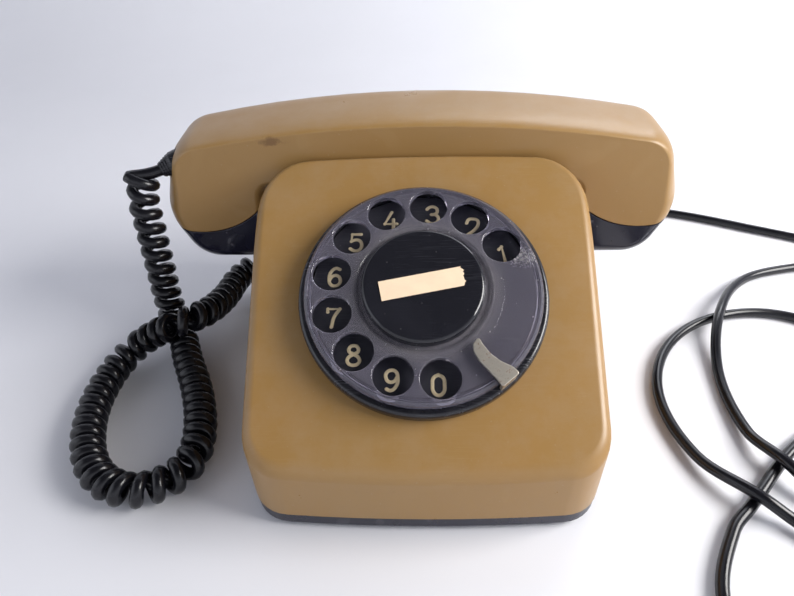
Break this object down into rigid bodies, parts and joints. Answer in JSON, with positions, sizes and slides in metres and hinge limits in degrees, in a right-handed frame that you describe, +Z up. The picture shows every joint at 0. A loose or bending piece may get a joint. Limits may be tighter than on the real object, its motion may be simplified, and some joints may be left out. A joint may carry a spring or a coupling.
{
  "type": "rotary telephone",
  "caption": "Rotary desk telephone with a sloping face, clear finger wheel, bar handset across the cradle, curly handset cord and a long line cord.",
  "frame": {"origin": "on the table under the middle of the telephone's bounding box, cords and their glands left out", "axes": "+X to the right of the dial along the handset, +Y to the back, +Z up"},
  "size_m": [0.3919, 0.2447, 0.0979],
  "materials": {
    "tan_plastic": "aged khaki moulding, satin with fine scratches",
    "black_plastic": "black moulding, polished by use",
    "clear_plastic": "clear moulding with milky scratches",
    "cord_rubber": "glossy black cord sheath",
    "foot_rubber": "dull black rubber",
    "plated_steel": "zinc plated",
    "worn_steel": "dull steel with rust freckles",
    "brass": "turned and stamped brass",
    "label_paper": "aged cream card",
    "circuit_board": "brown laminate",
    "enamelled_copper": "enamelled copper winding",
    "white_nylon": "off-white nylon"
  },
  "bodies": {
    "base": {"base_cord_gland": "black_plastic", "base_plate": "black_plastic", "base_screw_1": "plated_steel", "base_screw_2": "plated_steel", "base_screw_3": "plated_steel", "base_screw_4": "plated_steel", "capacitor": "white_nylon", "circuit_board": "circuit_board", "coil_tie": "foot_rubber", "contact_holder": "white_nylon", "curly_cord": "cord_rubber", "dial_bezel": "black_plastic", "dial_frame": "worn_steel", "finger_stop": "worn_steel", "foot_front_left": "foot_rubber", "foot_front_right": "foot_rubber", "foot_rear_left": "foot_rubber", "foot_rear_right": "foot_rubber", "gong_left": "plated_steel", "gong_right": "plated_steel", "gong_screw_left": "brass", "gong_screw_right": "brass", "governor_cup": "plated_steel", "hook_bracket": "plated_steel", "hook_pin": "plated_steel", "hook_switch": "white_nylon", "housing": "tan_plastic", "induction_coil": "worn_steel", "line_cord": "cord_rubber", "line_cord_coil": "cord_rubber", "line_cord_gland": "black_plastic", "line_plug": "black_plastic", "number_plate": "black_plastic", "pulse_contact_inner": "brass", "pulse_contact_outer": "brass", "return_spring": "worn_steel", "ringer_coil": "enamelled_copper", "ringer_frame": "plated_steel", "terminal_block": "black_plastic"},
    "handset": {"handset_shell": "tan_plastic", "ear_cap": "black_plastic", "mouth_cap": "black_plastic", "handset_gland": "black_plastic", "receiver_capsule": "plated_steel", "transmitter_capsule": "plated_steel"},
    "dial": {"finger_wheel": "clear_plastic", "centre_cap": "black_plastic", "label_card": "label_paper", "main_shaft": "plated_steel", "main_gear": "brass", "pulse_cam": "white_nylon"},
    "governor": {"governor_pinion": "brass"},
    "left_plunger": {"plunger_left": "black_plastic"},
    "right_plunger": {"plunger_right": "black_plastic"},
    "hook_arm": {"hook_lever": "worn_steel"},
    "bell_hammer": {"clapper": "worn_steel"}
  },
  "joints": [
    {"name": "dial_spin", "type": "hinge", "parent": "base", "child": "dial", "pos_m": [0, -0.026, 0.0581], "axis": [0, 0.4617, -0.887], "range_deg": [0, 320], "stiffness_Nm_per_rad": 0.006},
    {"name": "governor_spin", "type": "hinge", "parent": "base", "child": "governor", "pos_m": [-0.0241, -0.026, 0.0581], "axis": [0, 0.4617, -0.887], "range_deg": [-1280, 0]},
    {"name": "handset_lift", "type": "slide", "parent": "base", "child": "handset", "axis": [0, 0, 1], "range_m": [0, 0.12]},
    {"name": "left_plunger_slide", "type": "slide", "parent": "base", "child": "left_plunger", "axis": [0, 0, 1], "range_m": [0, 0.0048]},
    {"name": "right_plunger_slide", "type": "slide", "parent": "base", "child": "right_plunger", "axis": [0, 0, 1], "range_m": [0, 0.0048]},
    {"name": "hook_swing", "type": "hinge", "parent": "base", "child": "hook_arm", "pos_m": [0, 0.02, 0.042], "axis": [1, 0, 0], "range_deg": [0, 8]},
    {"name": "clapper_swing", "type": "hinge", "parent": "base", "child": "bell_hammer", "pos_m": [0, 0.033, 0.025], "axis": [0, 0, 1], "range_deg": [-2.5, 2.5], "stiffness_Nm_per_rad": 0.002}
  ],
  "couplings": [
    {"joint": "governor_spin", "follows": "dial_spin", "ratio": -4},
    {"joint": "left_plunger_slide", "follows": "handset_lift", "ratio": 0.0375},
    {"joint": "right_plunger_slide", "follows": "handset_lift", "ratio": 0.0375},
    {"joint": "hook_swing", "follows": "handset_lift", "rad_per_m": 1.13}
  ]
}
